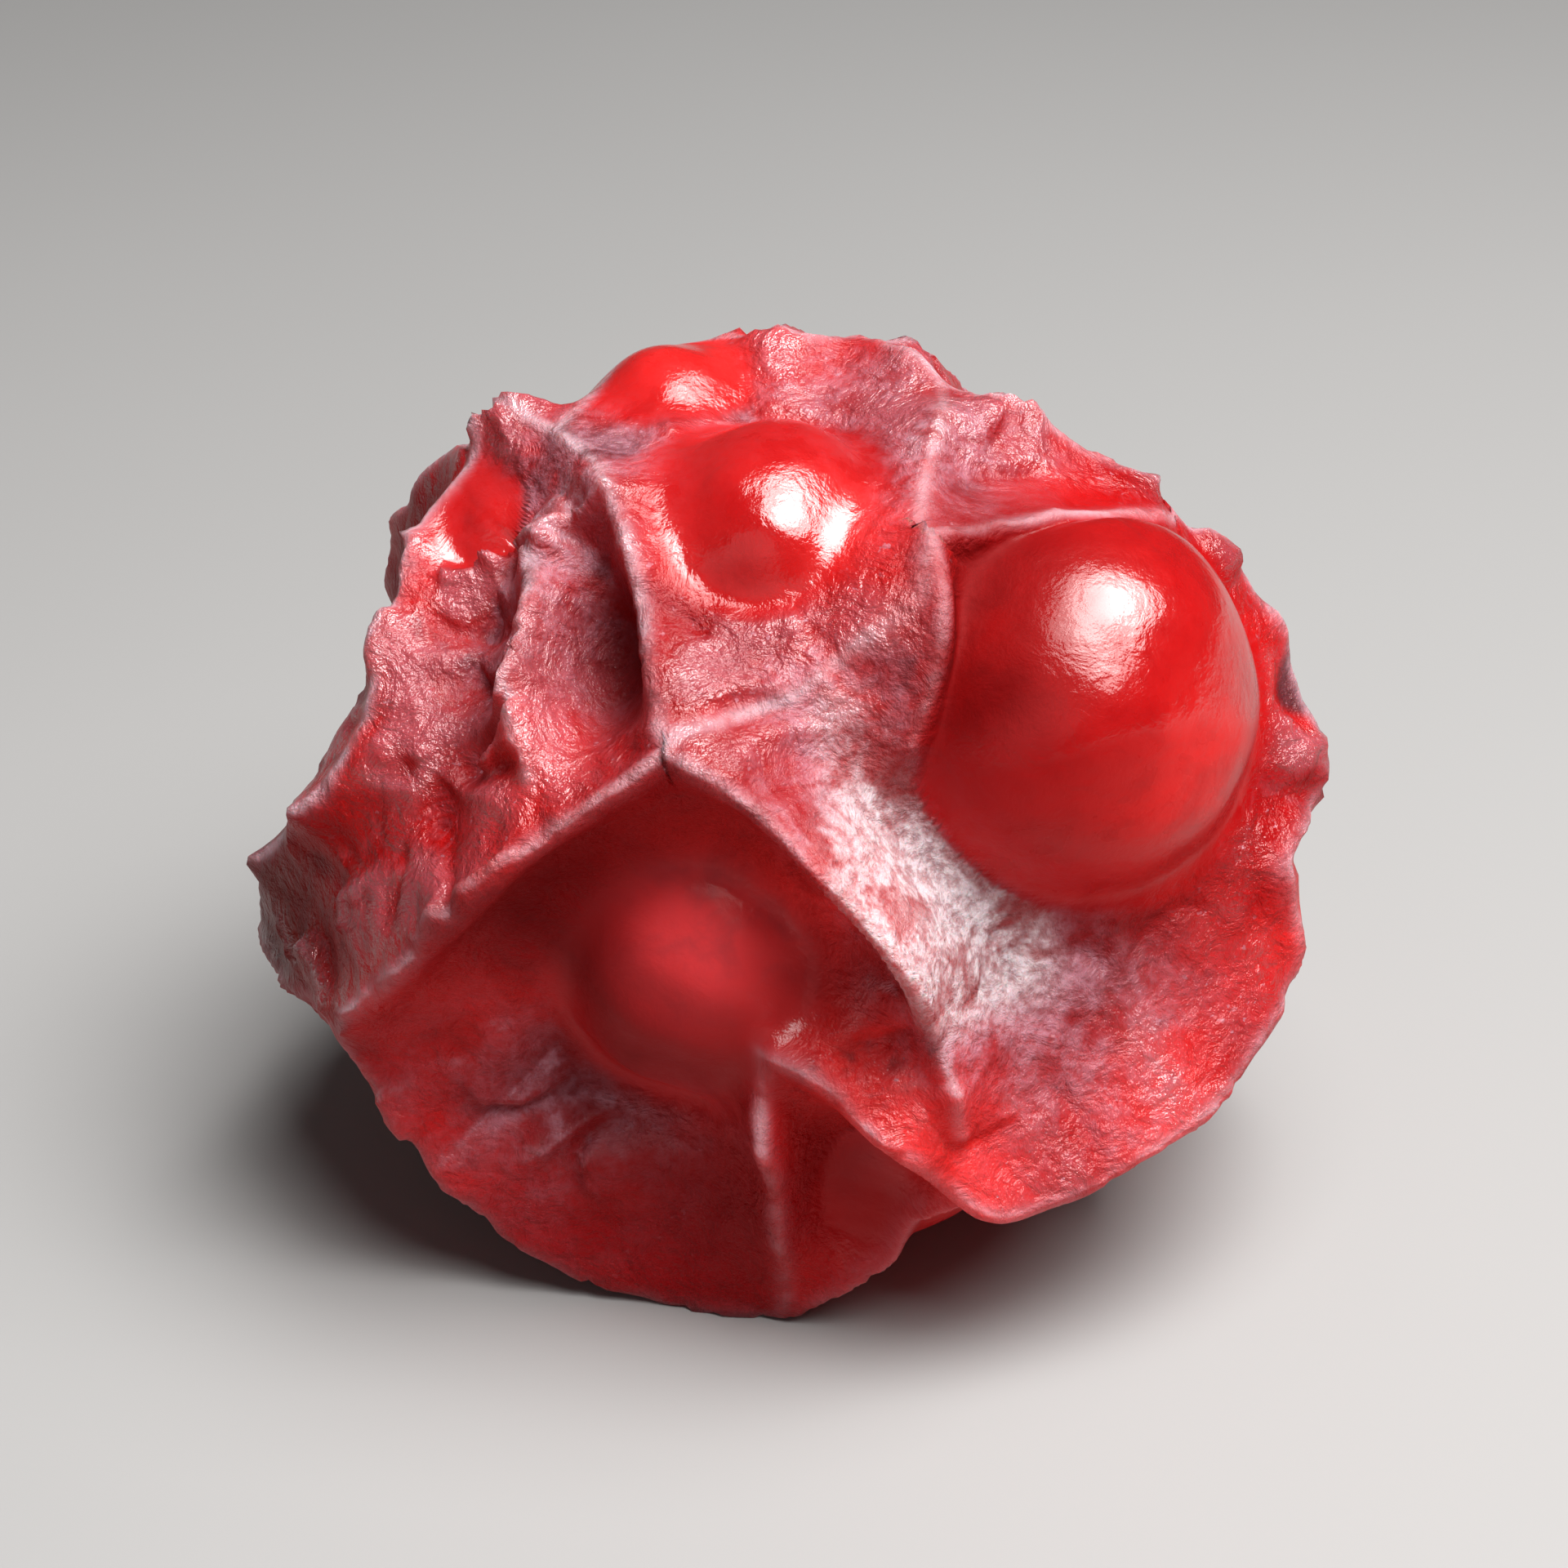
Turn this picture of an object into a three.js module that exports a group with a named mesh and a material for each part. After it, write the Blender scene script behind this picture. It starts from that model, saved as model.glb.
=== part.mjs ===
// A dried schisandra berry, in millimetres, +Z up, standing on its own small flat spot.
//
// A plump berry dries from the outside in: the pulp goes, and the skin draws in until it lies on the
// seeds and hangs between the stiff folds that it has made. The solid is formed the same way. A round
// skin of fine facets is drawn in towards the middle like a stretched film, and stops wherever it
// meets the pulp that is left, a seed or a fold.
//
// Places are given on the berry before it is tilted: x across its face, y up its face, z out of it.
import * as THREE from "three";
import { mergeVertices } from "three/addons/utils/BufferGeometryUtils.js";

// Driving dimensions.
const WIDTH = 8.0; // the dried berry, across its face
const OUTLINE = new THREE.Vector3(3.95, 3.55, 3.3); // half sizes of the outline that the folds keep
const PULP_SHARE = 0.66; // the dried pulp inside, as a share of that outline
const FOLD_RADIUS = 0.2; // a folded edge of skin
const FACE_TILT = 60; // degrees that the face is turned up from level about X
const FLAT_DROP = 2.85; // the flat spot, below the middle of the outline

// The skin: how finely it is divided, and how it is drawn in.
const SKIN_DETAIL = 20;
const SETTLING_STEPS = 300;
const SUCTION = 0.35; // how hard the skin is drawn in all over: the bend of a free web, per millimetre

// Places where the pulp has gone and the skin sinks further: longitude and latitude of the middle,
// how far the place reaches in millimetres, and its suction.
const HOLLOWS = [
  { at: [-17, -24], reach: 1.60, suction: 4.2 }, // the deep dish
  { at: [-26, 24], reach: 0.65, suction: 7.0 }, // the small recess, upper left
  { at: [-26, -44], reach: 0.65, suction: 6.0 }, // the pit under the dish
  { at: [40, 14], reach: 1.70, suction: 4.0 }, // round the large seed
  { at: [28, -2], reach: 0.90, suction: 3.0 }, // the shelf below it
  { at: [-50, 30], reach: 0.90, suction: 2.5 },
  { at: [20, 48], reach: 0.80, suction: 2.0 },
  { at: [-5, 62], reach: 0.70, suction: 2.0 },
  { at: [52, -64], reach: 1.20, suction: 4.0 }, // under the lower edge
  { at: [14, -54], reach: 0.70, suction: 3.0 },
  { at: [-160, 20], reach: 1.30, suction: 2.0 },
  { at: [120, 0], reach: 1.20, suction: 2.0 },
  { at: [-120, -22], reach: 1.20, suction: 1.8 },
  { at: [165, -62], reach: 1.00, suction: 1.5 },
  { at: [100, 50], reach: 1.00, suction: 1.5 },
];

// Seeds and lumps that stand out under the skin: middle, and radius.
const SEEDS = [
  { at: [1.90, 0.82, 1.72], radius: 1.42 }, // the large round one at the right
  { at: [-0.12, 1.86, 1.80], radius: 0.90 }, // above the middle
  { at: [-0.52, -0.92, 1.54], radius: 1.04 }, // in the deep dish
  { at: [-2.05, 1.90, 1.20], radius: 0.48 }, // small, upper left
  { at: [-0.86, 2.70, 0.70], radius: 0.72 }, // top
  { at: [0.80, -2.30, 0.90], radius: 0.75 }, // under the lower edge
  { at: [-1.40, 1.00, -1.50], radius: 1.25 },
  { at: [1.50, -0.40, -1.50], radius: 1.20 },
  { at: [0.35, 1.80, -1.20], radius: 1.05 },
  { at: [-0.50, -1.60, -1.50], radius: 0.95 },
  { at: [2.40, 0.30, -0.50], radius: 0.90 },
];

// Stiff folds of skin. Each point is a longitude and a latitude in degrees about the middle, with
// longitude 0 out of the face, and how far it stands proud of the outline.
const FOLDS = [
  // the left arm of the dish's rim, up to its peak
  [[-64, -22, 0.10], [-52, -16, 0.10], [-39, -6, 0.05], [-25, 3, 0.02], [-14, 9, 0.02]],
  // its right arm
  [[-14, 9, 0.02], [-4, 4, 0.05], [6, -4, 0.10], [14, -12, 0.10], [19, -20, 0.05],
    [25, -29, -0.05], [30, -40, -0.05]],
  // the lid over the large seed: its left side, and its top
  [[15, 10, -0.30], [15, 24, 0.02], [18, 34, 0.12]],
  [[18, 34, 0.12], [30, 37, 0.18], [46, 38, 0.18], [62, 35, 0.15]],
  // the rim on down the seed's right side
  [[62, 35, 0.15], [73, 27, 0.12], [79, 14, 0.12], [78, 3, 0.08], [70, -5, 0.02]],
  // the lower edge, from the middle round to the right side
  [[-2, -34, -0.40], [9, -37, -0.25], [20, -42, -0.05], [33, -47, 0.05], [47, -44, 0.10],
    [58, -36, 0.10], [68, -26, 0.08], [76, -14, 0.05], [70, -5, 0.02]],
  // the outline at the lower left, down to the foot
  [[-64, -22, 0.10], [-66, -33, 0.05], [-68, -46, 0.10], [-70, -60, 0.15], [-60, -73, 0.20],
    [0, -78, 0.15], [30, -64, 0.00], [33, -47, -0.10]],
  // the outline at the upper right
  [[40, 76, 0.10], [40, 61, 0.05], [54, 48, 0.05], [66, 40, 0.05]],
  // the top
  [[-46, 52, 0.00], [-58, 68, 0.00], [-40, 80, 0.05], [10, 76, 0.00], [40, 76, 0.10]],
  // the left outline, out along the thin flap and back
  [[-46, 52, 0.00], [-62, 50, 0.05], [-62, 38, -0.05], [-58, 26, -0.05], [-56, 13, -0.10],
    [-62, 2, -0.05], [-76, -4, 0.00], [-92, -12, 0.15], [-76, -20, 0.05], [-64, -22, 0.10]],
  // from the peak up between the upper seed and the small recess
  [[-14, 9, 0.02], [-17, 20, -0.20], [-20, 31, -0.15], [-27, 42, -0.05], [-46, 52, 0.00]],
  // the left side of the small recess
  [[-40, 34, -0.10], [-37, 25, -0.15], [-35, 15, -0.20], [-32, 6, -0.15]],
  // under the upper seed, from the peak to the lid
  [[-14, 9, 0.02], [-3, 14, -0.25], [8, 20, -0.25], [18, 34, 0.12]],
  // from the lid's corner up to the outline
  [[18, 34, 0.12], [26, 47, -0.05], [40, 61, 0.05]],
  // between the lower pit and the lobe under the lower edge
  [[-4, -34, -0.50], [-5, -43, -0.40], [-2, -55, -0.20], [0, -78, 0.15]],
  // across the back
  [[-92, -12, 0.15], [-115, -6, 0.05], [-139, 4, -0.05], [-164, -4, -0.15], [172, -15, -0.10],
    [150, -24, -0.05], [122, -18, 0.00], [98, -14, 0.05], [76, -14, 0.00]],
  [[-40, 80, 0.05], [-140, 68, -0.05], [-166, 44, -0.15], [-152, 22, -0.10], [-139, 4, -0.05]],
  [[172, -15, -0.10], [168, -42, -0.10], [150, -66, 0.00], [0, -78, 0.15]],
  [[40, 76, 0.10], [118, 62, 0.00], [142, 36, -0.10], [148, 8, -0.10], [150, -24, -0.05]],
  [[73, 28, 0.00], [98, 32, -0.05], [122, 22, -0.10], [148, 8, -0.10]],
  [[-62, 50, 0.05], [-98, 36, -0.05], [-122, 20, -0.10], [-139, 4, -0.05]],
  [[-68, -46, 0.10], [-102, -40, 0.00], [-138, -34, -0.05], [168, -42, -0.10]],
  [[68, -26, 0.00], [96, -42, 0.00], [128, -50, -0.05], [150, -66, 0.00]],
];
const BEAD_STEP = 0.06; // a fold is felt as a row of beads, this far apart

const SKIN_COLOUR = new THREE.Color(0.34, 0.012, 0.014);
const SKIN_ROUGHNESS = 0.35;

// A direction from the middle, of length 1, given as a longitude and a latitude in degrees.
function direction(longitude, latitude) {
  const fromTop = THREE.MathUtils.degToRad(90 - latitude);
  return new THREE.Vector3().setFromSphericalCoords(1, fromTop, THREE.MathUtils.degToRad(longitude));
}

// The outline's distance from the middle in a direction.
function outlineDistance(unit) {
  return 1 / unit.clone().divide(OUTLINE).length();
}

// Every fold as a row of small beads.
function foldBeads() {
  return FOLDS.flatMap((fold) => {
    const points = fold.map(([longitude, latitude, proud]) => {
      const unit = direction(longitude, latitude);
      return unit.multiplyScalar(outlineDistance(unit) + proud - FOLD_RADIUS);
    });
    const curve = new THREE.CatmullRomCurve3(points);
    const count = Math.round(curve.getLength() / BEAD_STEP);
    return curve.getPoints(count).map((at) => ({ at, radius: FOLD_RADIUS }));
  });
}

// The far side of a ball, seen from the middle along a direction, or 0 where the ball isn't met.
function ballDistance(unit, ball) {
  const along = unit.dot(ball.at);
  const square = along * along - ball.at.lengthSq() + ball.radius * ball.radius;
  return along > 0 && square > 0 ? along + Math.sqrt(square) : 0;
}

// How hard the skin is drawn in along a direction.
function suctionAt(unit) {
  const hollows = HOLLOWS.map(({ at, reach, suction }) => {
    const away = (unit.angleTo(direction(...at)) * outlineDistance(unit)) / reach;
    return suction * Math.exp(-away * away);
  });
  return hollows.reduce((sum, suction) => sum + suction, SUCTION);
}

// A closed ball of facets that share their points.
function roundSkin() {
  const ball = new THREE.IcosahedronGeometry(1, SKIN_DETAIL);
  ball.deleteAttribute("normal");
  ball.deleteAttribute("uv");
  return mergeVertices(ball);
}

// For each point of the skin, the points that it shares an edge with.
function neighboursOf(geometry) {
  const around = Array.from({ length: geometry.attributes.position.count }, () => new Set());
  const corners = geometry.index.array;
  for (let i = 0; i < corners.length; i += 3) {
    for (let k = 0; k < 3; k += 1) {
      around[corners[i + k]].add(corners[i + ((k + 1) % 3)]);
      around[corners[i + ((k + 1) % 3)]].add(corners[i + k]);
    }
  }
  return around.map((set) => [...set]);
}

// Draws the skin in. Each point slides along its own direction from the middle, to the level that a
// stretched film would take between its neighbours, but never past what lies under it.
function drySkin(geometry) {
  const around = neighboursOf(geometry);
  const positions = geometry.attributes.position;
  const units = around.map((_, i) => new THREE.Vector3().fromBufferAttribute(positions, i).normalize());
  const seeds = SEEDS.map(({ at, radius }) => ({ at: new THREE.Vector3(...at), radius }));
  const balls = [...seeds, ...foldBeads()];
  const floors = units.map((unit) =>
    balls.reduce((far, ball) => Math.max(far, ballDistance(unit, ball)), PULP_SHARE * outlineDistance(unit)));
  const edgeSquare = (4 * Math.PI * OUTLINE.x * OUTLINE.y) / units.length;
  const pulls = units.map((unit) => (suctionAt(unit) * edgeSquare) / 4);
  let points = units.map((unit) => unit.clone().multiplyScalar(outlineDistance(unit)));
  for (let step = 0; step < SETTLING_STEPS; step += 1) {
    points = units.map((unit, i) => {
      const reach = around[i].reduce((sum, j) => sum + points[j].dot(unit), 0) / around[i].length;
      return unit.clone().multiplyScalar(Math.max(floors[i], reach - pulls[i]));
    });
  }
  points.forEach((point, i) => positions.setXYZ(i, point.x, point.y, point.z));
}

// Turns the face up, presses the underside flat, sizes the berry and puts the flat spot at z = 0 with
// the middle of the box above the origin.
function setDown(geometry) {
  geometry.rotateX(THREE.MathUtils.degToRad(FACE_TILT));
  const positions = geometry.attributes.position;
  for (let i = 0; i < positions.count; i += 1) {
    positions.setZ(i, Math.max(positions.getZ(i), -FLAT_DROP));
  }
  geometry.computeBoundingBox();
  const box = geometry.boundingBox;
  geometry.translate(-(box.min.x + box.max.x) / 2, -(box.min.y + box.max.y) / 2, -box.min.z);
  const scale = WIDTH / (box.max.x - box.min.x);
  geometry.scale(scale, scale, scale);
  geometry.computeVertexNormals();
}

function driedBerry() {
  const geometry = roundSkin();
  drySkin(geometry);
  setDown(geometry);
  const skin = new THREE.MeshStandardMaterial({
    color: SKIN_COLOUR,
    roughness: SKIN_ROUGHNESS,
    metalness: 0,
  });
  const berry = new THREE.Mesh(geometry, skin);
  berry.name = "dried_berry";
  return berry;
}

const part = new THREE.Group();
part.add(driedBerry());

export default part;
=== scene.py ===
import math
from typing import NamedTuple

import bpy
import numpy as np
from bpy.props import FloatProperty, FloatVectorProperty, PointerProperty
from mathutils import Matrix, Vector


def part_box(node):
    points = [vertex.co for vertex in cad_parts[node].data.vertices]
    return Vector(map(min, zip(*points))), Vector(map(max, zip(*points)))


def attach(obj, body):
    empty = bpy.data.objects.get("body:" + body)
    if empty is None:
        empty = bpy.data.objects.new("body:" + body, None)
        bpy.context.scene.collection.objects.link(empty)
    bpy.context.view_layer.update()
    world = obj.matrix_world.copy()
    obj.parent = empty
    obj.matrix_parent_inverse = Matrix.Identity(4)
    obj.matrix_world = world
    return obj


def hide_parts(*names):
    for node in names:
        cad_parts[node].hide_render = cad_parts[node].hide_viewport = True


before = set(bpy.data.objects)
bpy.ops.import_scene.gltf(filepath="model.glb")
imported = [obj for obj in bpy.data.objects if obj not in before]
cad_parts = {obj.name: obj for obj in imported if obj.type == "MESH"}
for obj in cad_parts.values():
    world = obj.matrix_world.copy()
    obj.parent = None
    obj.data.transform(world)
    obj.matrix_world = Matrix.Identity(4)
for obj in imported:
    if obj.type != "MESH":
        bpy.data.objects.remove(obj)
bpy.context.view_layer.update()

bl_info = {
    "name": "Dried Schisandra Berry",
    "version": (1, 0, 0),
    "blender": (4, 5, 0),
    "location": "View3D > Sidebar > Berry",
    "description": "Models a dried schisandra berry and the studio that it stands in",
    "category": "Add Mesh",
}

BERRY_LOW, BERRY_HIGH = (Vector(corner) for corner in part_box("dried_berry"))
MM = 0.001

# The berry is worked out in millimetres about its middle, before it is tilted: x across its face, y up
# its face, z out of it. Directions are a longitude, 0 out of the face, and a latitude, in degrees.
OUTLINE = np.array([3.95, 3.55, 3.3])  # half sizes of the outline that the folds keep
PULP_SHARE = 0.66  # the dried pulp, as a share of that outline
FLAT_DROP = 2.85  # the flat spot, below the middle
BEAD_STEP = 0.03  # a fold is felt as a row of beads, this far apart
FIRST_CUTS = 31  # cuts along each edge of the cube that the skin starts as
FINER_STEPS = (160, 140, 120)  # settling steps at each fineness of the skin
COARSE_FOLD = 0.13  # half the thickness of a fold that the coarsest skin can feel
SEED_FADE = 0.28  # how far above a seed the skin still shows it
FOLD_FADE = 0.07  # how far from a fold's middle its pale edge, partly a painted highlight, reaches
LIP_REACH = 0.26  # how far from a fold's middle its lip bends
FAR = 9.0  # further off than anything in the berry


class Fold(NamedTuple):
    """A stiff fold of skin: longitude, latitude and stand above the outline, and how its lip leans."""

    line: list
    lean: tuple = (0.0, 0.0, 0.0)


class Patch(NamedTuple):
    """A place on the skin: longitude, latitude, reach in millimetres, and how strong it is."""

    longitude: float
    latitude: float
    reach: float
    amount: float


# Seeds and lumps under the skin: middle, and radius.
SEEDS = [
    ((1.90, 0.82, 1.72), 1.42),  # the large round one at the right
    ((-0.12, 1.86, 1.80), 0.90),  # above the middle
    ((-0.52, -0.92, 1.54), 1.04),  # in the deep dish
    ((-2.05, 1.90, 1.20), 0.48),  # small, upper left
    ((-0.86, 2.70, 0.70), 0.72),  # top
    ((0.80, -2.30, 0.90), 0.75),  # under the lower edge
    ((-1.40, 1.00, -1.50), 1.25),
    ((1.50, -0.40, -1.50), 1.20),
    ((0.35, 1.80, -1.20), 1.05),
    ((-0.50, -1.60, -1.50), 0.95),
    ((2.40, 0.30, -0.50), 0.90),
]

# Places where the pulp has gone and the skin sinks: the amount is its suction.
HOLLOWS = [
    Patch(-17, -24, 1.60, 4.2),  # the deep dish
    Patch(-26, 24, 0.65, 7.0),  # the small recess, upper left
    Patch(-26, -44, 0.65, 6.0),  # the pit under the dish
    Patch(40, 14, 1.70, 4.0),  # round the large seed
    Patch(28, -2, 0.90, 3.0),  # the shelf below it
    Patch(-50, 30, 0.90, 2.5),
    Patch(20, 48, 0.80, 2.0),
    Patch(-5, 62, 0.70, 2.0),
    Patch(52, -64, 1.20, 4.0),  # under the lower edge
    Patch(14, -54, 0.70, 3.0),
    Patch(-160, 20, 1.30, 2.0),
    Patch(120, 0, 1.20, 2.0),
    Patch(-120, -22, 1.20, 1.8),
    Patch(165, -62, 1.00, 1.5),
    Patch(100, 50, 1.00, 1.5),
]

# Where the skin has dried to a pale, frosted web, with a painted sheen of the key light over it.
BLOOM_AND_SHEEN = [
    Patch(10, 2, 0.80, 1.0),
    Patch(21, -8, 0.90, 1.8),  # the shelf between the dish's rim and the large seed
    Patch(32, -16, 0.80, 1.6),
    Patch(48, -26, 1.10, 0.7),
    Patch(6, 17, 0.55, 0.9),
    Patch(36, 47, 0.90, 0.9),
    Patch(14, 46, 0.55, 0.7),
    Patch(-36, 14, 0.70, 0.6),
    Patch(-44, 32, 0.80, 0.8),
    Patch(-34, 46, 0.90, 0.8),
    Patch(6, 66, 1.00, 0.6),
    Patch(-46, -42, 1.10, 1.0),
    Patch(-16, -50, 0.35, 1.0),
    Patch(84, 20, 0.80, 0.7),
    Patch(150, 50, 1.30, 0.7),
    Patch(-120, 40, 1.20, 0.6),
    Patch(110, 10, 1.00, 0.5),
    Patch(48, 14, 1.25, -2.0),  # the large seed's own skin stays clear
    Patch(-14, -16, 1.10, -1.0),  # so does the dish
]

# Sheltered places that get painted shade, stay dull and are free of bloom and painted sheen.
SHADE_AND_DULL_PATCHES = [
    Patch(-16, -20, 1.35, 1.1),  # the deep dish
    Patch(-26, -44, 0.50, 1.2),  # the pit under it
    Patch(-26, 22, 0.45, 1.0),  # the small recess
    Patch(16, -54, 0.60, 0.8),  # under the lower edge
    Patch(22, 16, 0.65, 1.1),  # the crease beside the large seed
    Patch(28, 32, 0.65, 1.0),  # under the lid over it
    Patch(-34, -14, 0.70, 0.7),  # the dish's upper left wall
    Patch(-160, 20, 0.90, 0.7),
    Patch(120, 0, 0.80, 0.7),
    Patch(-120, -22, 0.90, 0.6),
]

# Thin skin given a painted glow, as if light shone through it.
PAINTED_GLOW_PATCHES = [
    Patch(-10, -15, 0.85, 1.0),  # the top of the seed in the dish
    Patch(48, 2, 0.60, 0.9),  # the lower right of the large seed
    Patch(6, -14, 0.45, 0.7),  # the dish's right wall
    Patch(13, -33, 0.50, 1.0),  # from the dish down to the lower edge
    Patch(26, -44, 0.65, 1.2),  # the lower edge
    Patch(60, -34, 0.50, 0.8),
    Patch(76, -12, 0.60, 0.7),
    Patch(-40, 72, 0.80, 0.9),  # the top lobe
    Patch(-24, -52, 0.60, 0.5),
    Patch(-50, -26, 0.50, 0.5),
    Patch(-34, 8, 0.40, 0.7),
    Patch(10, 38, 0.40, 0.8),
]

# The thin brown flap that sticks out at the left.
FLAP = [Patch(-84, -10, 1.1, 1.3)]

# Where the skin is crumpled most, and where it is drawn smooth (a negative amount).
CRUMPLED = [
    Patch(-45, 25, 1.60, 1.1),
    Patch(-25, 60, 1.40, 0.7),
    Patch(80, 12, 1.20, 0.9),
    Patch(36, 52, 1.10, 0.7),
    Patch(-70, -10, 1.20, 0.7),
    Patch(-40, -42, 1.20, 0.5),
    Patch(-14, -20, 1.20, -0.3),
    Patch(20, -5, 1.20, -0.2),
]

FOLDS = [
    # the left arm of the dish's rim, up to its peak
    Fold([(-64, -22, 0.10), (-52, -16, 0.10), (-39, -6, 0.05), (-25, 3, 0.02), (-14, 9, 0.02)],
         (0.08, -0.22, 0.06)),
    # its right arm
    Fold([(-14, 9, 0.02), (-4, 4, 0.05), (6, -4, 0.10), (14, -12, 0.10), (19, -20, 0.05),
          (25, -29, -0.05), (30, -40, -0.05)], (-0.18, -0.14, 0.06)),
    # the lid over the large seed: its left side, and its top
    Fold([(15, 10, -0.30), (15, 24, 0.02), (18, 34, 0.12)], (0.26, -0.04, 0.08)),
    Fold([(18, 34, 0.12), (30, 37, 0.18), (46, 38, 0.18), (62, 35, 0.15)], (0.02, -0.24, 0.10)),
    # the rim on down the seed's right side
    Fold([(62, 35, 0.15), (73, 27, 0.12), (79, 14, 0.12), (78, 3, 0.08), (70, -5, 0.02)], (-0.06, 0.0, 0.06)),
    # the lower edge, from the middle round to the right side
    Fold([(-2, -34, -0.40), (9, -37, -0.25), (20, -42, -0.05), (33, -47, 0.05), (47, -44, 0.10),
          (58, -36, 0.10), (68, -26, 0.08), (76, -14, 0.05), (70, -5, 0.02)], (0.00, -0.20, 0.04)),
    # the outline at the lower left, down to the foot
    Fold([(-64, -22, 0.10), (-66, -33, 0.05), (-68, -46, 0.10), (-70, -60, 0.15), (-60, -73, 0.20),
          (0, -78, 0.15), (30, -64, 0.00), (33, -47, -0.10)]),
    # the outline at the upper right
    Fold([(40, 76, 0.10), (40, 61, 0.05), (54, 48, 0.05), (66, 40, 0.05)]),
    # the top
    Fold([(-46, 52, 0.00), (-58, 68, 0.00), (-40, 80, 0.05), (10, 76, 0.00), (40, 76, 0.10)]),
    # the left outline, out along the thin flap and back
    Fold([(-46, 52, 0.00), (-62, 50, 0.05), (-62, 38, -0.05), (-58, 26, -0.05), (-56, 13, -0.10),
          (-62, 2, -0.05), (-76, -4, 0.00), (-92, -12, 0.15), (-76, -20, 0.05), (-64, -22, 0.10)]),
    # from the peak up between the upper seed and the small recess
    Fold([(-14, 9, 0.02), (-17, 20, -0.20), (-20, 31, -0.15), (-27, 42, -0.05), (-46, 52, 0.00)],
         (-0.10, 0.00, 0.04)),
    # the left side of the small recess
    Fold([(-40, 34, -0.10), (-37, 25, -0.15), (-35, 15, -0.20), (-32, 6, -0.15)]),
    # under the upper seed, from the peak to the lid
    Fold([(-14, 9, 0.02), (-3, 14, -0.25), (8, 20, -0.25), (18, 34, 0.12)]),
    # from the lid's corner up to the outline
    Fold([(18, 34, 0.12), (26, 47, -0.05), (40, 61, 0.05)]),
    # between the lower pit and the lobe under the lower edge
    Fold([(-4, -34, -0.50), (-5, -43, -0.40), (-2, -55, -0.20), (0, -78, 0.15)]),
    # across the back
    Fold([(-92, -12, 0.15), (-115, -6, 0.05), (-139, 4, -0.05), (-164, -4, -0.15), (172, -15, -0.10),
          (150, -24, -0.05), (122, -18, 0.00), (98, -14, 0.05), (76, -14, 0.00)]),
    Fold([(-40, 80, 0.05), (-140, 68, -0.05), (-166, 44, -0.15), (-152, 22, -0.10), (-139, 4, -0.05)]),
    Fold([(172, -15, -0.10), (168, -42, -0.10), (150, -66, 0.00), (0, -78, 0.15)]),
    Fold([(40, 76, 0.10), (118, 62, 0.00), (142, 36, -0.10), (148, 8, -0.10), (150, -24, -0.05)]),
    Fold([(73, 28, 0.00), (98, 32, -0.05), (122, 22, -0.10), (148, 8, -0.10)]),
    Fold([(-62, 50, 0.05), (-98, 36, -0.05), (-122, 20, -0.10), (-139, 4, -0.05)]),
    Fold([(-68, -46, 0.10), (-102, -40, 0.00), (-138, -34, -0.05), (168, -42, -0.10)]),
    Fold([(68, -26, 0.00), (96, -42, 0.00), (128, -50, -0.05), (150, -66, 0.00)]),
]


# ---- places and waves ---------------------------------------------------------------------------


def direction(longitude, latitude):
    lon, lat = math.radians(longitude), math.radians(latitude)
    return np.array([math.cos(lat) * math.sin(lon), math.sin(lat), math.cos(lat) * math.cos(lon)])


def outline_distance(units):
    return 1.0 / np.linalg.norm(units / OUTLINE, axis=-1)


def waves(points, length, seed):
    """A smooth random pattern between about -1 and 1, whose waves are about as long as asked."""
    dice = np.random.default_rng(seed)
    ways = dice.normal(size=(9, 3))
    ways *= 2 * math.pi / length / np.linalg.norm(ways, axis=1, keepdims=True)
    ways *= dice.uniform(0.7, 1.4, size=(9, 1))
    return np.sin(points @ ways.T + dice.uniform(0, 6.28, 9)).sum(axis=1) / 4.0


def patch_sum(units, patches):
    """The patches' amounts added up over the skin, each fading out at its reach."""
    total = np.zeros(len(units))
    for patch in patches:
        cosine = np.clip(units @ direction(patch.longitude, patch.latitude), -1, 1)
        away = np.arccos(cosine) * outline_distance(units) / patch.reach
        total += patch.amount * np.exp(-away * away)
    return total


def smooth_line(corners, step):
    """A flowing line through the corners, as points about one step apart."""
    ends = np.vstack([2 * corners[0] - corners[1], corners, 2 * corners[-1] - corners[-2]])
    pieces = []
    for a, b, c, d in zip(ends, ends[1:], ends[2:], ends[3:]):
        t = np.linspace(0, 1, max(2, round(np.linalg.norm(c - b) / step)), endpoint=False)[:, None]
        pieces.append(b + 0.5 * t * (c - a + t * (2 * a - 5 * b + 4 * c - d + t * (3 * (b - c) + d - a))))
    return np.vstack(pieces + [corners[-1:]])


def fold_beads(fold, thickness):
    """The middles of a fold's beads, which wander a little as dried skin does."""
    corners = []
    for longitude, latitude, stand in fold.line:
        unit = direction(longitude, latitude)
        corners.append(unit * (outline_distance(unit) + stand))
    beads = smooth_line(np.array(corners), BEAD_STEP)
    reach = np.linalg.norm(beads, axis=1, keepdims=True)
    side = np.stack([waves(beads, 1.1, seed) for seed in (1, 2, 3)], axis=1)
    wander = 0.035 * waves(beads, 0.8, 4)[:, None] - thickness
    return beads * (1 + wander / reach) + 0.04 * side


# ---- the skin -----------------------------------------------------------------------------------


def batches(count, size):
    """The numbers up to the count in batches of about the size, so that big tables stay in memory."""
    return np.array_split(np.arange(count), count // size + 1)


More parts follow.
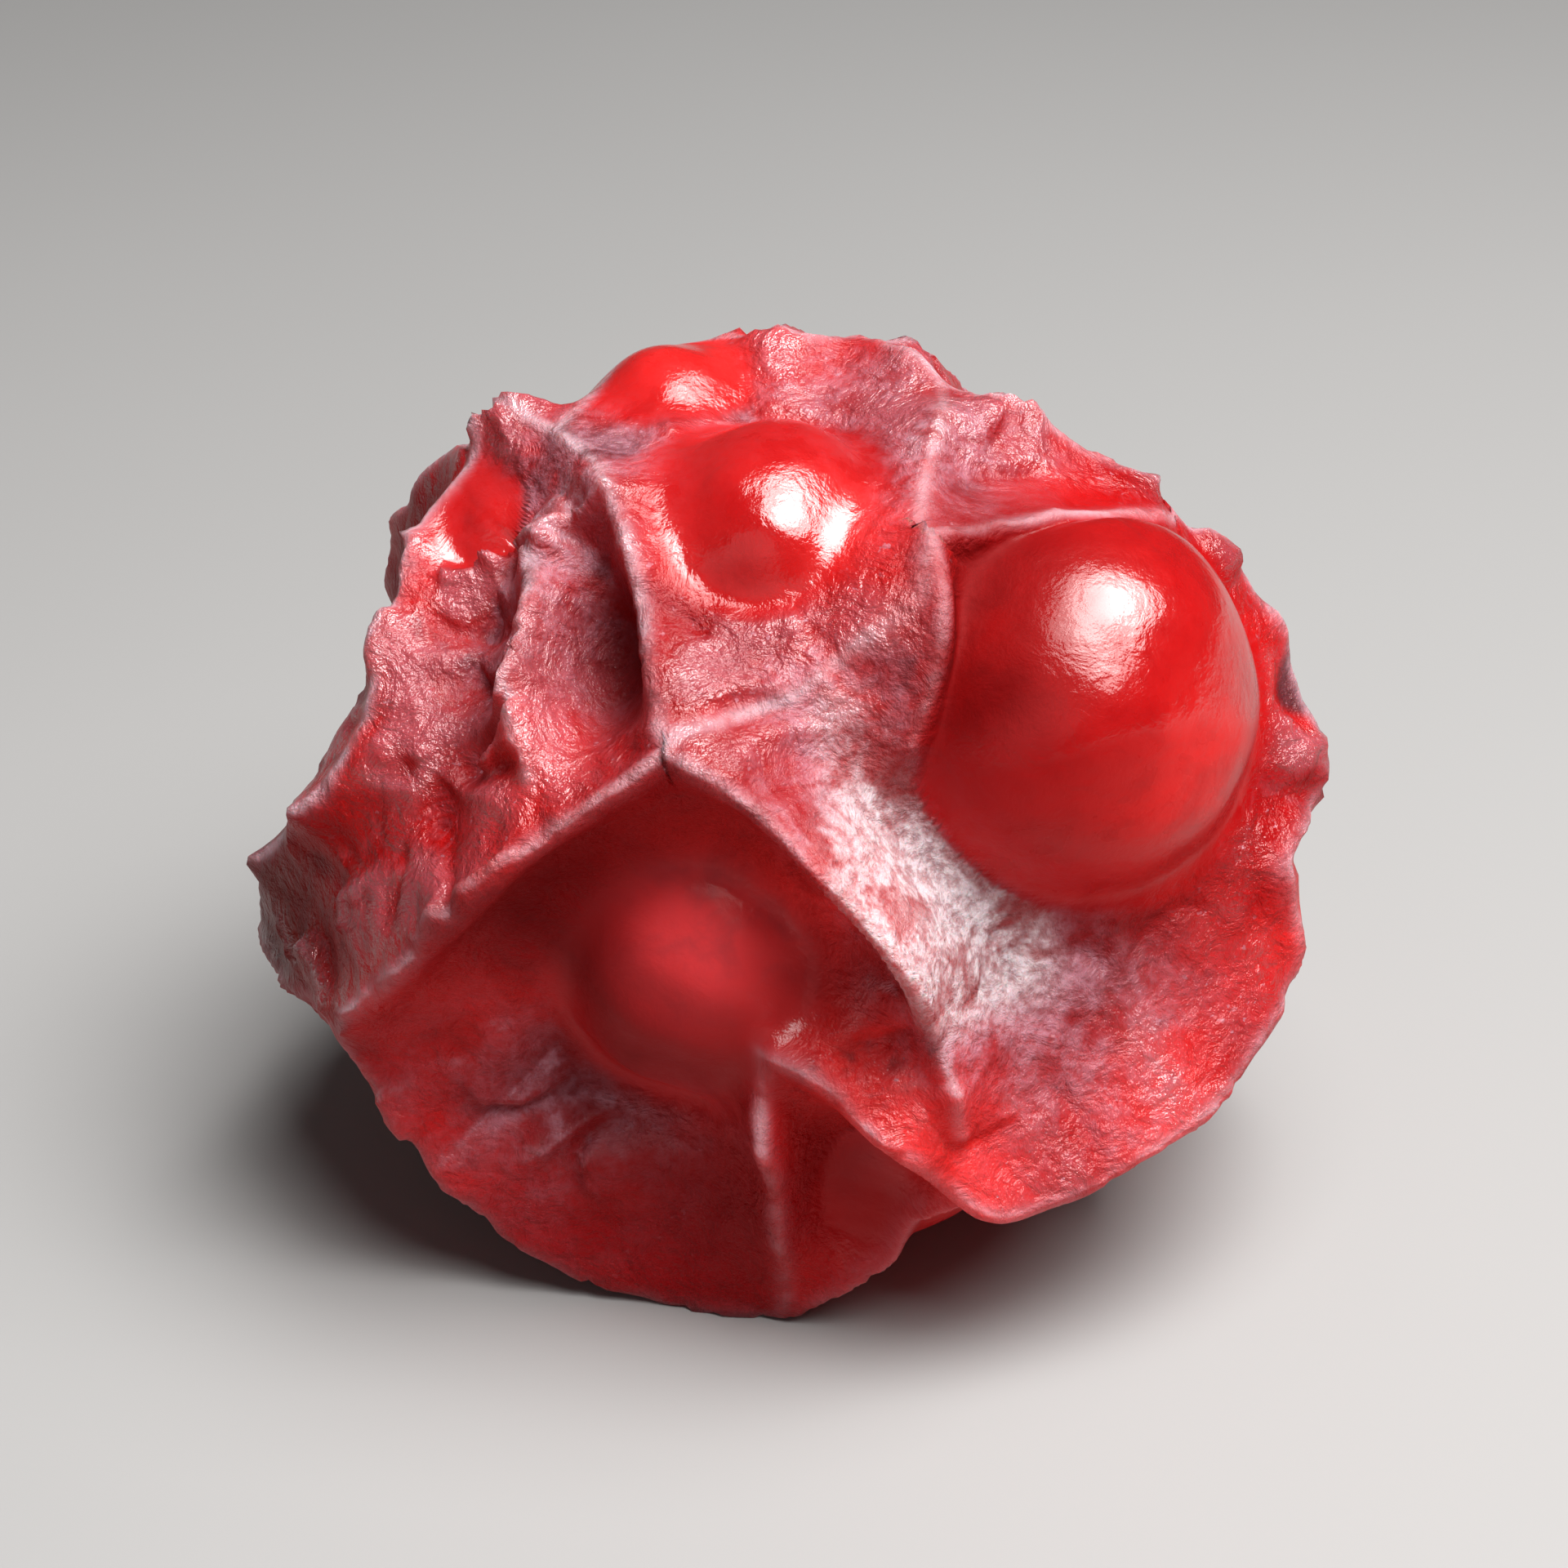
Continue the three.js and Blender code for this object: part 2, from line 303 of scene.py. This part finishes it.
def ball_reach(units, middles, radii):
    """How far out the balls stand along each direction, and how near it passes to a ball's middle."""
    far = np.zeros(len(units))
    near = np.full(len(units), FAR)
    own = (middles ** 2).sum(axis=1)
    for some in batches(len(units), 4000):
        along = units[some] @ middles.T
        missed = np.where(along > 0, own - along ** 2, FAR ** 2)
        out = along + np.sqrt(np.maximum(radii ** 2 - missed, 0))
        far[some] = np.where(missed < radii ** 2, out, 0).max(axis=1)
        near[some] = np.sqrt(np.maximum(missed.min(axis=1), 0))
    return far, near


def mesh_points(mesh):
    flat = np.empty(len(mesh.vertices) * 3)
    mesh.vertices.foreach_get("co", flat)
    return flat.reshape(-1, 3)


def set_mesh_points(mesh, points):
    mesh.vertices.foreach_set("co", points.astype(np.float32).ravel())
    mesh.update()


def neighbour_table(mesh):
    """For each point, the four points that it shares an edge with (one twice, where it has three)."""
    flat = np.empty(len(mesh.edges) * 2, dtype=np.int32)
    mesh.edges.foreach_get("vertices", flat)
    a, b = flat.reshape(-1, 2).T
    start, end = np.concatenate([a, b]), np.concatenate([b, a])
    order = np.argsort(start, kind="stable")
    counts = np.bincount(start, minlength=len(mesh.vertices))
    first = np.cumsum(counts) - counts
    return end[order][first[:, None] + np.arange(4) % counts[:, None]]


def draw_in(points, near, floor, suction, steps):
    """Lets the skin settle like a stretched film, each point along its own line from the middle."""
    units = points / np.linalg.norm(points, axis=1, keepdims=True)
    edge_square = ((points[near] - points[:, None]) ** 2).sum(axis=2).mean(axis=1)
    pull = suction * edge_square / 4
    for _ in range(steps):
        level = np.einsum("ij,ij->i", points[near].mean(axis=1), units) - pull
        points = units * np.maximum(level, floor)[:, None]
    return points


def under_skin(units, thickness):
    """What the skin comes down on: pulp, seeds and folds."""
    middles = np.array([middle for middle, _ in SEEDS])
    radii = np.array([radius for _, radius in SEEDS])
    seeds, _ = ball_reach(units, middles, radii)
    seeds += 0.05 * waves(3.0 * units, 1.5, 61) + 0.02 * waves(3.0 * units, 0.6, 62)
    beads = np.vstack([fold_beads(fold, thickness) for fold in FOLDS])
    folds, fold_gap = ball_reach(units, beads, np.full(len(beads), thickness))
    pulp = PULP_SHARE * outline_distance(units)
    return np.maximum(pulp, np.maximum(seeds, folds)), seeds, fold_gap


def ridge_net(points, count, seed, width):
    """A net of ridges over the skin, 1 on a ridge and falling off towards the middle of each mesh."""
    dice = np.random.default_rng(seed)
    knots = dice.normal(size=(count, 3))
    knots /= np.linalg.norm(knots, axis=1, keepdims=True)
    cell = math.sqrt(4 * math.pi / count)
    reach = np.linalg.norm(points, axis=1, keepdims=True)
    wander = [waves(points, 3.3 * cell, seed + way) for way in (1, 2, 3)]
    warped = points / reach + 0.22 * cell * np.stack(wander, axis=1)
    net = np.zeros(len(points))
    for some in batches(len(points), 4000):
        gaps = np.sqrt(np.maximum(2 - 2 * warped[some] @ knots.T, 0))
        gaps.partition(1, axis=1)
        net[some] = np.exp(-(gaps[:, 1] - gaps[:, 0]) / (width * cell))
    return net


def crumple(points, near, smoothness, height):
    """Small ridges in two nets, one finer than the other, with the skin sunk between them."""
    units = points / np.linalg.norm(points, axis=1, keepdims=True)
    reach = np.linalg.norm(points, axis=1)
    amount = np.clip(0.4 + patch_sum(units, CRUMPLED) + 0.35 * waves(points, 1.7, 31), 0.04, 1.3)
    amount *= 1 - 0.9 * smoothness
    coarse = ridge_net(points, 190, 11, 0.22) * np.clip(0.7 + 0.5 * waves(points, 1.2, 41), 0, 1.3)
    fine = ridge_net(points, 900, 51, 0.30) * np.clip(0.6 + 0.6 * waves(points, 0.8, 42), 0, 1.3)
    rise = height * amount * (1.5 * coarse + 0.6 * fine - 0.6)
    raised = units * (reach + rise)[:, None]
    return draw_in(raised, near, reach + rise - 0.12 * height, 0.2, 3)


def lean_lips(points, thickness):
    """Bends the lips of the leaning folds over, so that they hang a little over the hollows."""
    middles, leans = [], []
    for fold in FOLDS:
        if any(fold.lean):
            beads = fold_beads(fold, thickness)
            along = np.linspace(0, math.pi, len(beads))
            middles.append(beads)
            leans.append(np.outer(0.35 + 0.65 * np.sin(along), fold.lean))
    middles, leans = np.vstack(middles), np.vstack(leans)
    shift = np.zeros_like(points)
    for some in batches(len(points), 2000):
        gaps = ((points[some, None] - middles) ** 2).sum(axis=2)
        best = gaps.argmin(axis=1)
        shift[some] = leans[best] * np.exp(-gaps.min(axis=1) / LIP_REACH ** 2)[:, None]
    return points + shift


def store(mesh, name, values):
    mesh.attributes.new(name, "FLOAT", "POINT").data.foreach_set("value", values.astype(np.float32))


def grow_skin(obj, sizes):
    """Draws the skin in at three finenesses, crumples it and keeps what its finish needs to know."""
    mesh = obj.data
    for level, steps in enumerate(FINER_STEPS):
        if level:
            bpy.ops.object.mode_set(mode="EDIT")
            bpy.ops.mesh.select_all(action="SELECT")
            bpy.ops.mesh.subdivide(number_cuts=1)
            bpy.ops.object.mode_set(mode="OBJECT")
        points = mesh_points(mesh)
        units = points / np.linalg.norm(points, axis=1, keepdims=True)
        if not level:
            points = units * outline_distance(units)[:, None]
        thickness = max(sizes.fold_thickness / MM, COARSE_FOLD / 2 ** level)
        floor, seeds, fold_gap = under_skin(units, thickness)
        suction = sizes.suction + patch_sum(units, HOLLOWS)
        near = neighbour_table(mesh)
        points = draw_in(points, near, floor, suction, steps)
        set_mesh_points(mesh, points)
    reach = np.linalg.norm(points, axis=1)
    on_seed = np.exp(-(np.maximum(reach - seeds, 0) / SEED_FADE) ** 2) * (seeds > 1)
    hollow = np.clip((outline_distance(units) - reach - 0.1) / 0.9, 0, 1)
    points = crumple(points, near, on_seed, sizes.crumple_height / MM)
    ridge = np.clip((np.linalg.norm(points, axis=1) - reach) / (sizes.crumple_height / MM), -1, 1)
    points = lean_lips(points, thickness)
    set_mesh_points(mesh, points)
    store(mesh, "on_seed", on_seed)
    store(mesh, "hollow", hollow)
    store(mesh, "shelter", np.clip(patch_sum(units, SHADE_AND_DULL_PATCHES), 0, 1))
    store(mesh, "painted_glow", np.clip(patch_sum(units, PAINTED_GLOW_PATCHES), 0, 1))
    store(mesh, "fold", np.exp(-(fold_gap / FOLD_FADE) ** 2))
    store(mesh, "crease", 0.5 + 0.5 * ridge)
    store(mesh, "bloom", np.clip(patch_sum(units, BLOOM_AND_SHEEN), 0, 1.8) * (1 - 0.92 * on_seed))
    store(mesh, "flap", np.clip(patch_sum(units, FLAP), 0, 1))


def set_down(obj, sizes):
    """Tilts the berry, presses its foot flat and brings it to the frame's size and place."""
    points = mesh_points(obj.data)
    turn, flat = sizes.face_tilt, -FLAT_DROP
    up = points[:, 1] * math.sin(turn) + points[:, 2] * math.cos(turn)
    back = points[:, 1] * math.cos(turn) - points[:, 2] * math.sin(turn)
    points = np.stack([points[:, 0], back, np.maximum(up, flat)], axis=1)
    low, high = points.min(axis=0), points.max(axis=0)
    size = (BERRY_HIGH.x - BERRY_LOW.x) / (high[0] - low[0])
    middle = (low + high) / 2
    points = (points - np.array([middle[0], middle[1], flat])) * size
    points += [(BERRY_LOW.x + BERRY_HIGH.x) / 2, (BERRY_LOW.y + BERRY_HIGH.y) / 2, BERRY_LOW.z]
    set_mesh_points(obj.data, points)


# ---- finishes -----------------------------------------------------------------------------------


class Nodes:
    """Short ways to add and link a material's nodes."""

    def __init__(self, material):
        material.use_nodes = True
        self.tree = material.node_tree
        self.shader = self.tree.nodes["Principled BSDF"]

    def add(self, kind, inputs=None, **settings):
        node = self.tree.nodes.new(kind)
        for name, value in settings.items():
            setattr(node, name, value)
        for name, value in (inputs or {}).items():
            self.feed(value, node.inputs[name])
        return node

    def feed(self, value, socket):
        if isinstance(value, bpy.types.NodeSocket):
            self.tree.links.new(value, socket)
        else:
            socket.default_value = value

    def attribute(self, name):
        return self.add("ShaderNodeAttribute", attribute_name=name).outputs["Fac"]

    def math(self, operation, a, b=0.0, clamp=False):
        return self.add("ShaderNodeMath", {0: a, 1: b}, operation=operation, use_clamp=clamp).outputs[0]

    def product(self, first, *rest):
        for value in rest:
            first = self.math("MULTIPLY", first, value)
        return first

    def most(self, first, *rest):
        for value in rest:
            first = self.math("MAXIMUM", first, value)
        return first

    def less(self, value, share=1.0):
        """One, less a share of the value."""
        return self.math("SUBTRACT", 1.0, self.product(value, share))

    def ramp(self, value, low, high, out_low=0.0, out_high=1.0):
        node = self.add("ShaderNodeMapRange", {"Value": value, "From Min": low, "From Max": high,
                                               "To Min": out_low, "To Max": out_high},
                        interpolation_type="SMOOTHSTEP")
        return node.outputs["Result"]

    def mix(self, factor, a, b):
        node = self.add("ShaderNodeMix", data_type="RGBA")
        for value, index in ((factor, 0), (a, 6), (b, 7)):
            self.feed(value, node.inputs[index])
        return node.outputs[2]

    def noise(self, place, millimetres, detail=3.0, roughness=0.55, distortion=0.0):
        node = self.add("ShaderNodeTexNoise", {
            "Vector": place, "Scale": 1 / (millimetres * MM), "Detail": detail,
            "Roughness": roughness, "Distortion": distortion})
        return node.outputs["Fac"]


def rgba(colour):
    return (*colour, 1.0)


class SkinNodes(Nodes):
    """Dried berry skin: what the mesh and the noises say of each place, and the finish that follows."""

    def __init__(self, material, colours):
        super().__init__(material)
        self.colours = colours
        self.place = self.add("ShaderNodeTexCoord").outputs["Object"]
        self.on_seed, self.hollow = self.attribute("on_seed"), self.attribute("hollow")
        self.fold, self.crease = self.attribute("fold"), self.attribute("crease")
        self.shelter, self.painted_glow = self.attribute("shelter"), self.attribute("painted_glow")
        self.bloom, self.flap = self.attribute("bloom"), self.attribute("flap")
        self.broad = self.noise(self.place, 1.6)
        self.mottle = self.noise(self.place, 0.45, 4.0, 0.6, 0.4)
        self.grain = self.noise(self.place, 0.09, 3.0, 0.65)
        self.bare = self.less(self.on_seed)
        self.sunk = self.product(self.hollow, self.bare)
        facing = self.add("ShaderNodeNewGeometry").outputs["Normal"]
        self.lit = self.ramp(self.add("ShaderNodeSeparateXYZ", {0: facing}).outputs["Z"], -0.1, 0.75)

    def tint(self, colour, amount, name):
        """Mixes an amount of one of the berry's colours into another colour."""
        return self.mix(amount, colour, rgba(getattr(self.colours, name)))

    def skin_colour(self):
        """Deep red, brighter over the seeds, with a painted glow where the skin is thin and painted shade in
        hollows and creases.
        """
        mottle, bare = self.mottle, self.bare
        colour = self.tint(rgba(self.colours.flesh), self.ramp(self.broad, 0.4, 0.75), "bright")
        over_seed = self.product(self.on_seed, self.ramp(mottle, 0.25, 0.7, 0.3, 0.7))
        colour = self.tint(colour, over_seed, "bright")
        # painted shade: hollows and sheltered places darkened
        painted_shade_mask = self.most(self.sunk, self.product(self.shelter, 0.85))
        colour = self.tint(colour, self.product(painted_shade_mask, self.ramp(mottle, 0.2, 0.8, 0.7, 1.0)), "painted_shade_red")
        # painted glow where the skin is thin
        thin = self.product(self.painted_glow, self.ramp(mottle, 0.25, 0.6, 0.5, 0.95))
        colour = self.tint(colour, thin, "painted_glow")
        stains = self.product(self.ramp(self.broad, 0.6, 0.72), self.ramp(mottle, 0.5, 0.66, 0.0, 0.8))
        colour = self.tint(colour, self.product(stains, bare), "stain_and_shade")
        # painted shade in the creases between small ridges
        painted_crease_shade = self.product(self.ramp(self.crease, 0.18, 0.42, 0.85, 0.0), bare)
        colour = self.tint(colour, painted_crease_shade, "stain_and_shade")
        return self.tint(colour, self.product(self.flap, 0.8), "flap")

    def frost_and_sheen(self):
        """Pale bloom with painted sheen: bloom on the webs, painted highlights on the folds' edges and the
        crests of small ridges, and specks of dust with painted glints, all brighter on faces turned up to the
        key light.
        """
        mottle, bare, lit = self.mottle, self.bare, self.lit
        patchy = self.ramp(mottle, 0.36, 0.58, 0.2, 1.0)
        # painted sheen: the bloom is brighter on faces turned up to the key light
        lit_patches = self.product(patchy, self.ramp(lit, 0.0, 0.6, 0.3, 1.0))
        webs = self.math("MULTIPLY", self.bloom, lit_patches, clamp=True)
        webs = self.product(webs, self.ramp(self.grain, 0.35, 0.62, 0.45, 1.0))
        # painted highlight along the folds' edges
        edges = self.product(self.fold, self.ramp(mottle, 0.36, 0.58, 0.35, 1.0))
        edges = self.product(edges, self.ramp(lit, 0.0, 0.5, 0.3, 1.0))
        wavering = self.math("SUBTRACT", self.noise(self.place, 0.55, 3.0, 0.5, 1.4), 0.5)
        veins = self.ramp(self.math("ABSOLUTE", wavering), 0.0, 0.07, 1.0, 0.0)
        # painted glints on the crests of small ridges and along wavering veins
        crests = self.most(self.ramp(self.crease, 0.6, 1.0), self.product(veins, 0.35))
        crests = self.product(crests, bare, self.product(lit, 0.4))
        # specks: dust, with painted glints where lit
        specks = self.ramp(self.noise(self.place, 0.07, 2.0, 0.5), 0.66, 0.72)
        specks = self.product(specks, bare, self.product(lit, patchy))
        # all of it faded where the painted shade lies
        return self.product(self.most(webs, edges, crests, specks), self.less(self.shelter, 0.7))

    def with_frost_and_sheen(self, colour):
        """The colour under its bloom and painted sheen, chalky with painted glare where thick, with a painted
        hazy highlight on a sheltered seed.
        """
        # thick bloom, with painted glare on the shelf
        thick = self.most(self.ramp(self.bloom, 0.9, 1.7), self.product(self.fold, 0.35))
        powder = self.tint(rgba(self.colours.frost_and_sheen), thick, "chalk_and_glare")
        colour = self.mix(self.product(self.frost_and_sheen(), 0.78), colour, powder)
        # painted hazy highlight on the sheltered seed in the dish
        painted_haze = self.product(self.painted_glow, self.on_seed, self.product(self.shelter, 0.14))
        return self.tint(colour, painted_haze, "frost_and_sheen")

    def roughness(self, dull):
        rough = self.math("ADD", self.ramp(self.mottle, 0.3, 0.7, 0.22, 0.36), self.product(self.bare, 0.12))
        return self.math("ADD", rough, self.product(dull, 0.34))

    def oil(self, dull):
        """A coat of oil: full on the seeds, thin on the webs with glints on their ridges."""
        patches = self.ramp(self.noise(self.place, 0.8, 4.0), 0.3, 0.65, 0.5, 1.0)
        glints = self.ramp(self.crease, 0.5, 0.85, 0.16, 0.9)
        glossy = self.most(self.ramp(self.on_seed, 0.7, 1.0, 0.16, 1.0), glints)
        oiled = self.product(patches, glossy, self.ramp(self.lit, 0.1, 0.7, 0.02, 1.0))
        return self.product(oiled, self.math("SUBTRACT", 1.0, dull, clamp=True))

    def puckers(self):
        """Fine wrinkles and grain, fainter on the seeds."""
        wrinkles = self.product(self.noise(self.place, 0.26, 5.0, 0.62, 0.5), self.less(self.on_seed, 0.88))
        grain = self.product(self.grain, self.ramp(self.on_seed, 0.0, 1.0, 0.30, 0.05))
        height = self.math("ADD", wrinkles, grain)
        bump = self.add("ShaderNodeBump", {"Height": height, "Strength": 1.0, "Distance": 0.1 * MM})
        return bump.outputs["Normal"]


def skin_material(colours):
    material = bpy.data.materials.new("dried_berry_skin")
    nodes = SkinNodes(material, colours)
    dull = nodes.most(nodes.shelter, nodes.sunk)
    normal = nodes.puckers()
    finish = {
        "Base Color": nodes.with_frost_and_sheen(nodes.skin_colour()),
        "Roughness": nodes.roughness(dull),
        "Coat Weight": nodes.oil(dull),
        "Normal": normal,
        "Coat Normal": normal,
        "Metallic": 0.0,
        "IOR": 1.38,
        "Specular Tint": (1.0, 0.3, 0.3, 1.0),
        "Coat Roughness": 0.13,
        "Coat IOR": 2.1,
        "Subsurface Weight": 0.35,
        "Subsurface Radius": (1.0, 0.12, 0.08),
        "Subsurface Scale": 0.6 * MM,
    }
    for name, value in finish.items():
        nodes.feed(value, nodes.shader.inputs[name])
    return material


def floor_material(colour):
    material = bpy.data.materials.new("studio_floor")
    nodes = Nodes(material)
    place = nodes.add("ShaderNodeTexCoord").outputs["Object"]
    tone = nodes.ramp(nodes.noise(place, 30.0), 0.3, 0.7, 0.97, 1.0)
    shade = nodes.mix(tone, (0.0, 0.0, 0.0, 1.0), rgba(colour))
    nodes.feed(shade, nodes.shader.inputs["Base Color"])
    nodes.shader.inputs["Roughness"].default_value = 0.75
    return material


# ---- settings -----------------------------------------------------------------------------------


class BerrySizes(bpy.types.PropertyGroup):
    fold_thickness: FloatProperty(
        name="Fold thickness", description="Half the thickness of a folded edge of skin",
        default=0.07 * MM, unit="LENGTH")
    crumple_height: FloatProperty(
        name="Crumple height", description="How far the small ridges stand above the skin between them",
        default=0.11 * MM, unit="LENGTH")
    suction: FloatProperty(
        name="Suction", description="How hard the skin is drawn in all over", default=0.35)
    face_tilt: FloatProperty(
        name="Face tilt", description="How far the face is turned up from level",
        default=math.radians(60), subtype="ANGLE")


class BerryColours(bpy.types.PropertyGroup):
    flesh: FloatVectorProperty(
        name="Flesh", description="Skin over dried pulp", subtype="COLOR", default=(0.33, 0.0010, 0.0025))
    bright: FloatVectorProperty(
        name="Bright", description="Thin skin over a seed", subtype="COLOR", default=(0.58, 0.006, 0.006))
    # painted glow: the colour of thin skin painted as if light shone through it
    painted_glow: FloatVectorProperty(
        name="Glow", description="Skin that light shines through", subtype="COLOR",
        default=(0.84, 0.018, 0.016))
    # painted shade: the colour that hollows and sheltered places are darkened to
    painted_shade_red: FloatVectorProperty(
        name="Deep", description="Skin sunk into a hollow", subtype="COLOR", default=(0.11, 0.0001, 0.0006))
    # dark purple stains, also the colour of painted shade in creases
    stain_and_shade: FloatVectorProperty(
        name="Blotch", description="Dark purple stains", subtype="COLOR", default=(0.025, 0.001, 0.004))
    # pale bloom, with a painted sheen of the key light
    frost_and_sheen: FloatVectorProperty(
        name="Frost", description="Pale bloom on the webs", subtype="COLOR", default=(0.56, 0.24, 0.30))
    # where the bloom lies thickest, with painted glare
    chalk_and_glare: FloatVectorProperty(
        name="Chalk", description="Where the bloom lies thickest", subtype="COLOR",
        default=(0.93, 0.80, 0.84))
    flap: FloatVectorProperty(
        name="Flap", description="The thin brown flap", subtype="COLOR", default=(0.09, 0.012, 0.008))


class StudioSettings(bpy.types.PropertyGroup):
    lens: FloatProperty(
        name="Lens", description="Focal length of the camera", default=85.0, subtype="DISTANCE_CAMERA")
    elevation: FloatProperty(
        name="Elevation", description="How far the camera looks down", default=math.radians(30),
        subtype="ANGLE")
    fill: FloatProperty(
        name="Fill", description="Share of the picture's width that the berry takes", default=0.68,
        subtype="FACTOR")
    key_power: FloatProperty(
        name="Key power", description="Power of the softbox overhead", default=0.039, unit="POWER")
    core_power: FloatProperty(
        name="Core power", description="Power of the brighter middle of that softbox", default=0.015,
        unit="POWER")
    fill_power: FloatProperty(
        name="Fill power", description="Power of the fill lights", default=0.0020, unit="POWER")
    sky: FloatProperty(name="Sky", description="Strength of the light from all round", default=0.045)
    floor: FloatVectorProperty(
        name="Floor", description="The floor's colour", subtype="COLOR", default=(0.43, 0.425, 0.42))


# ---- operators ----------------------------------------------------------------------------------


def deselect_all():
    if bpy.context.object and bpy.context.object.mode != "OBJECT":
        bpy.ops.object.mode_set(mode="OBJECT")
    bpy.ops.object.select_all(action="DESELECT")


class BERRY_OT_dried_berry(bpy.types.Operator):
    """Model the dried berry: its skin, drawn in over seeds and folds, and the skin's finish"""

    bl_idname = "berry.dried_berry"
    bl_label = "Dried Berry"

    def execute(self, context):
        sizes, colours = context.scene.berry_sizes, context.scene.berry_colours
        deselect_all()
        bpy.ops.mesh.primitive_cube_add(size=2.0)
        berry = context.object
        berry.name = berry.data.name = "dried_berry_skin"
        bpy.ops.object.mode_set(mode="EDIT")
        bpy.ops.mesh.select_all(action="SELECT")
        bpy.ops.mesh.subdivide(number_cuts=FIRST_CUTS)
        bpy.ops.object.mode_set(mode="OBJECT")
        cast = berry.modifiers.new("round", "CAST")
        cast.factor = 1.0
        bpy.ops.object.modifier_apply(modifier=cast.name)
        grow_skin(berry, sizes)
        set_down(berry, sizes)
        bpy.ops.object.shade_smooth()
        berry.data.materials.append(skin_material(colours))
        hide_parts("dried_berry")
        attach(berry, "root")
        return {"FINISHED"}


def add_softbox(name, place, aim, size, power, colour):
    bpy.ops.object.light_add(type="AREA", location=place)
    light = bpy.context.object
    light.name = name
    light.rotation_euler = (aim - place).to_track_quat("-Z", "Y").to_euler()
    light.data.shape = "DISK"
    light.data.size = size
    light.data.energy = power
    light.data.color = colour


class BERRY_OT_studio(bpy.types.Operator):
    """Set up the camera, the soft lights and the plain pale floor"""

    bl_idname = "berry.studio"
    bl_label = "Studio"

    def execute(self, context):
        studio = context.scene.berry_studio
        deselect_all()
        middle = (BERRY_LOW + BERRY_HIGH) / 2
        width = BERRY_HIGH.x - BERRY_LOW.x

        bpy.ops.object.camera_add()
        camera = context.object
        camera.data.lens = studio.lens
        camera.data.clip_start = width / 20
        half_angle = math.atan(camera.data.sensor_width / 2 / studio.lens)
        distance = width / studio.fill / 2 / math.tan(half_angle)
        way = Vector((0, -math.cos(studio.elevation), math.sin(studio.elevation)))
        camera.location = middle + way * distance
        camera.rotation_euler = (-way).to_track_quat("-Z", "Y").to_euler()
        context.scene.camera = camera

        top = middle + Vector((2.0, -1.2, 5.8)) * width
        add_softbox("key_softbox", top, middle, width * 6.4, studio.key_power, (1.0, 0.99, 0.98))
        add_softbox("key_core", top * 0.98, middle, width * 3.6, studio.core_power, (1.0, 0.99, 0.98))
        front = middle + Vector((-3.0, -7.0, 3.0)) * width
        add_softbox("front_fill", front, middle, width * 8.0, studio.fill_power, (0.97, 0.98, 1.0))

        context.scene.view_settings.view_transform = "Standard"
        world = bpy.data.worlds.new("studio_sky")
        context.scene.world = world
        world.use_nodes = True
        sky = world.node_tree.nodes["Background"]
        sky.inputs["Color"].default_value = (1.0, 0.99, 0.98, 1.0)
        sky.inputs["Strength"].default_value = studio.sky

        bpy.ops.mesh.primitive_plane_add(size=width * 100, location=(0, 0, BERRY_LOW.z))
        floor = context.object
        floor.name = "studio_floor"
        bpy.ops.object.transform_apply(location=True, rotation=True, scale=True)
        floor.data.materials.append(floor_material(studio.floor))
        return {"FINISHED"}


class BERRY_PT_panel(bpy.types.Panel):
    """The berry's operators and settings, in the sidebar"""

    bl_label = "Dried Schisandra Berry"
    bl_idname = "BERRY_PT_panel"
    bl_space_type = "VIEW_3D"
    bl_region_type = "UI"
    bl_category = "Berry"

    def draw(self, context):
        for operator in OPERATORS:
            self.layout.operator(operator.bl_idname)
        for group in (context.scene.berry_sizes, context.scene.berry_colours, context.scene.berry_studio):
            box = self.layout.box()
            for name in group.__annotations__:
                box.prop(group, name)


GROUPS = {"berry_sizes": BerrySizes, "berry_colours": BerryColours, "berry_studio": StudioSettings}
OPERATORS = (BERRY_OT_dried_berry, BERRY_OT_studio)


def register():
    for name, group in GROUPS.items():
        bpy.utils.register_class(group)
        setattr(bpy.types.Scene, name, PointerProperty(type=group))
    for item in (*OPERATORS, BERRY_PT_panel):
        bpy.utils.register_class(item)


def unregister():
    for item in (*OPERATORS, BERRY_PT_panel):
        bpy.utils.unregister_class(item)
    for name, group in GROUPS.items():
        delattr(bpy.types.Scene, name)
        bpy.utils.unregister_class(group)


def main():
    register()
    bpy.ops.berry.dried_berry()
    bpy.ops.berry.studio()


if __name__ == "__main__":
    main()
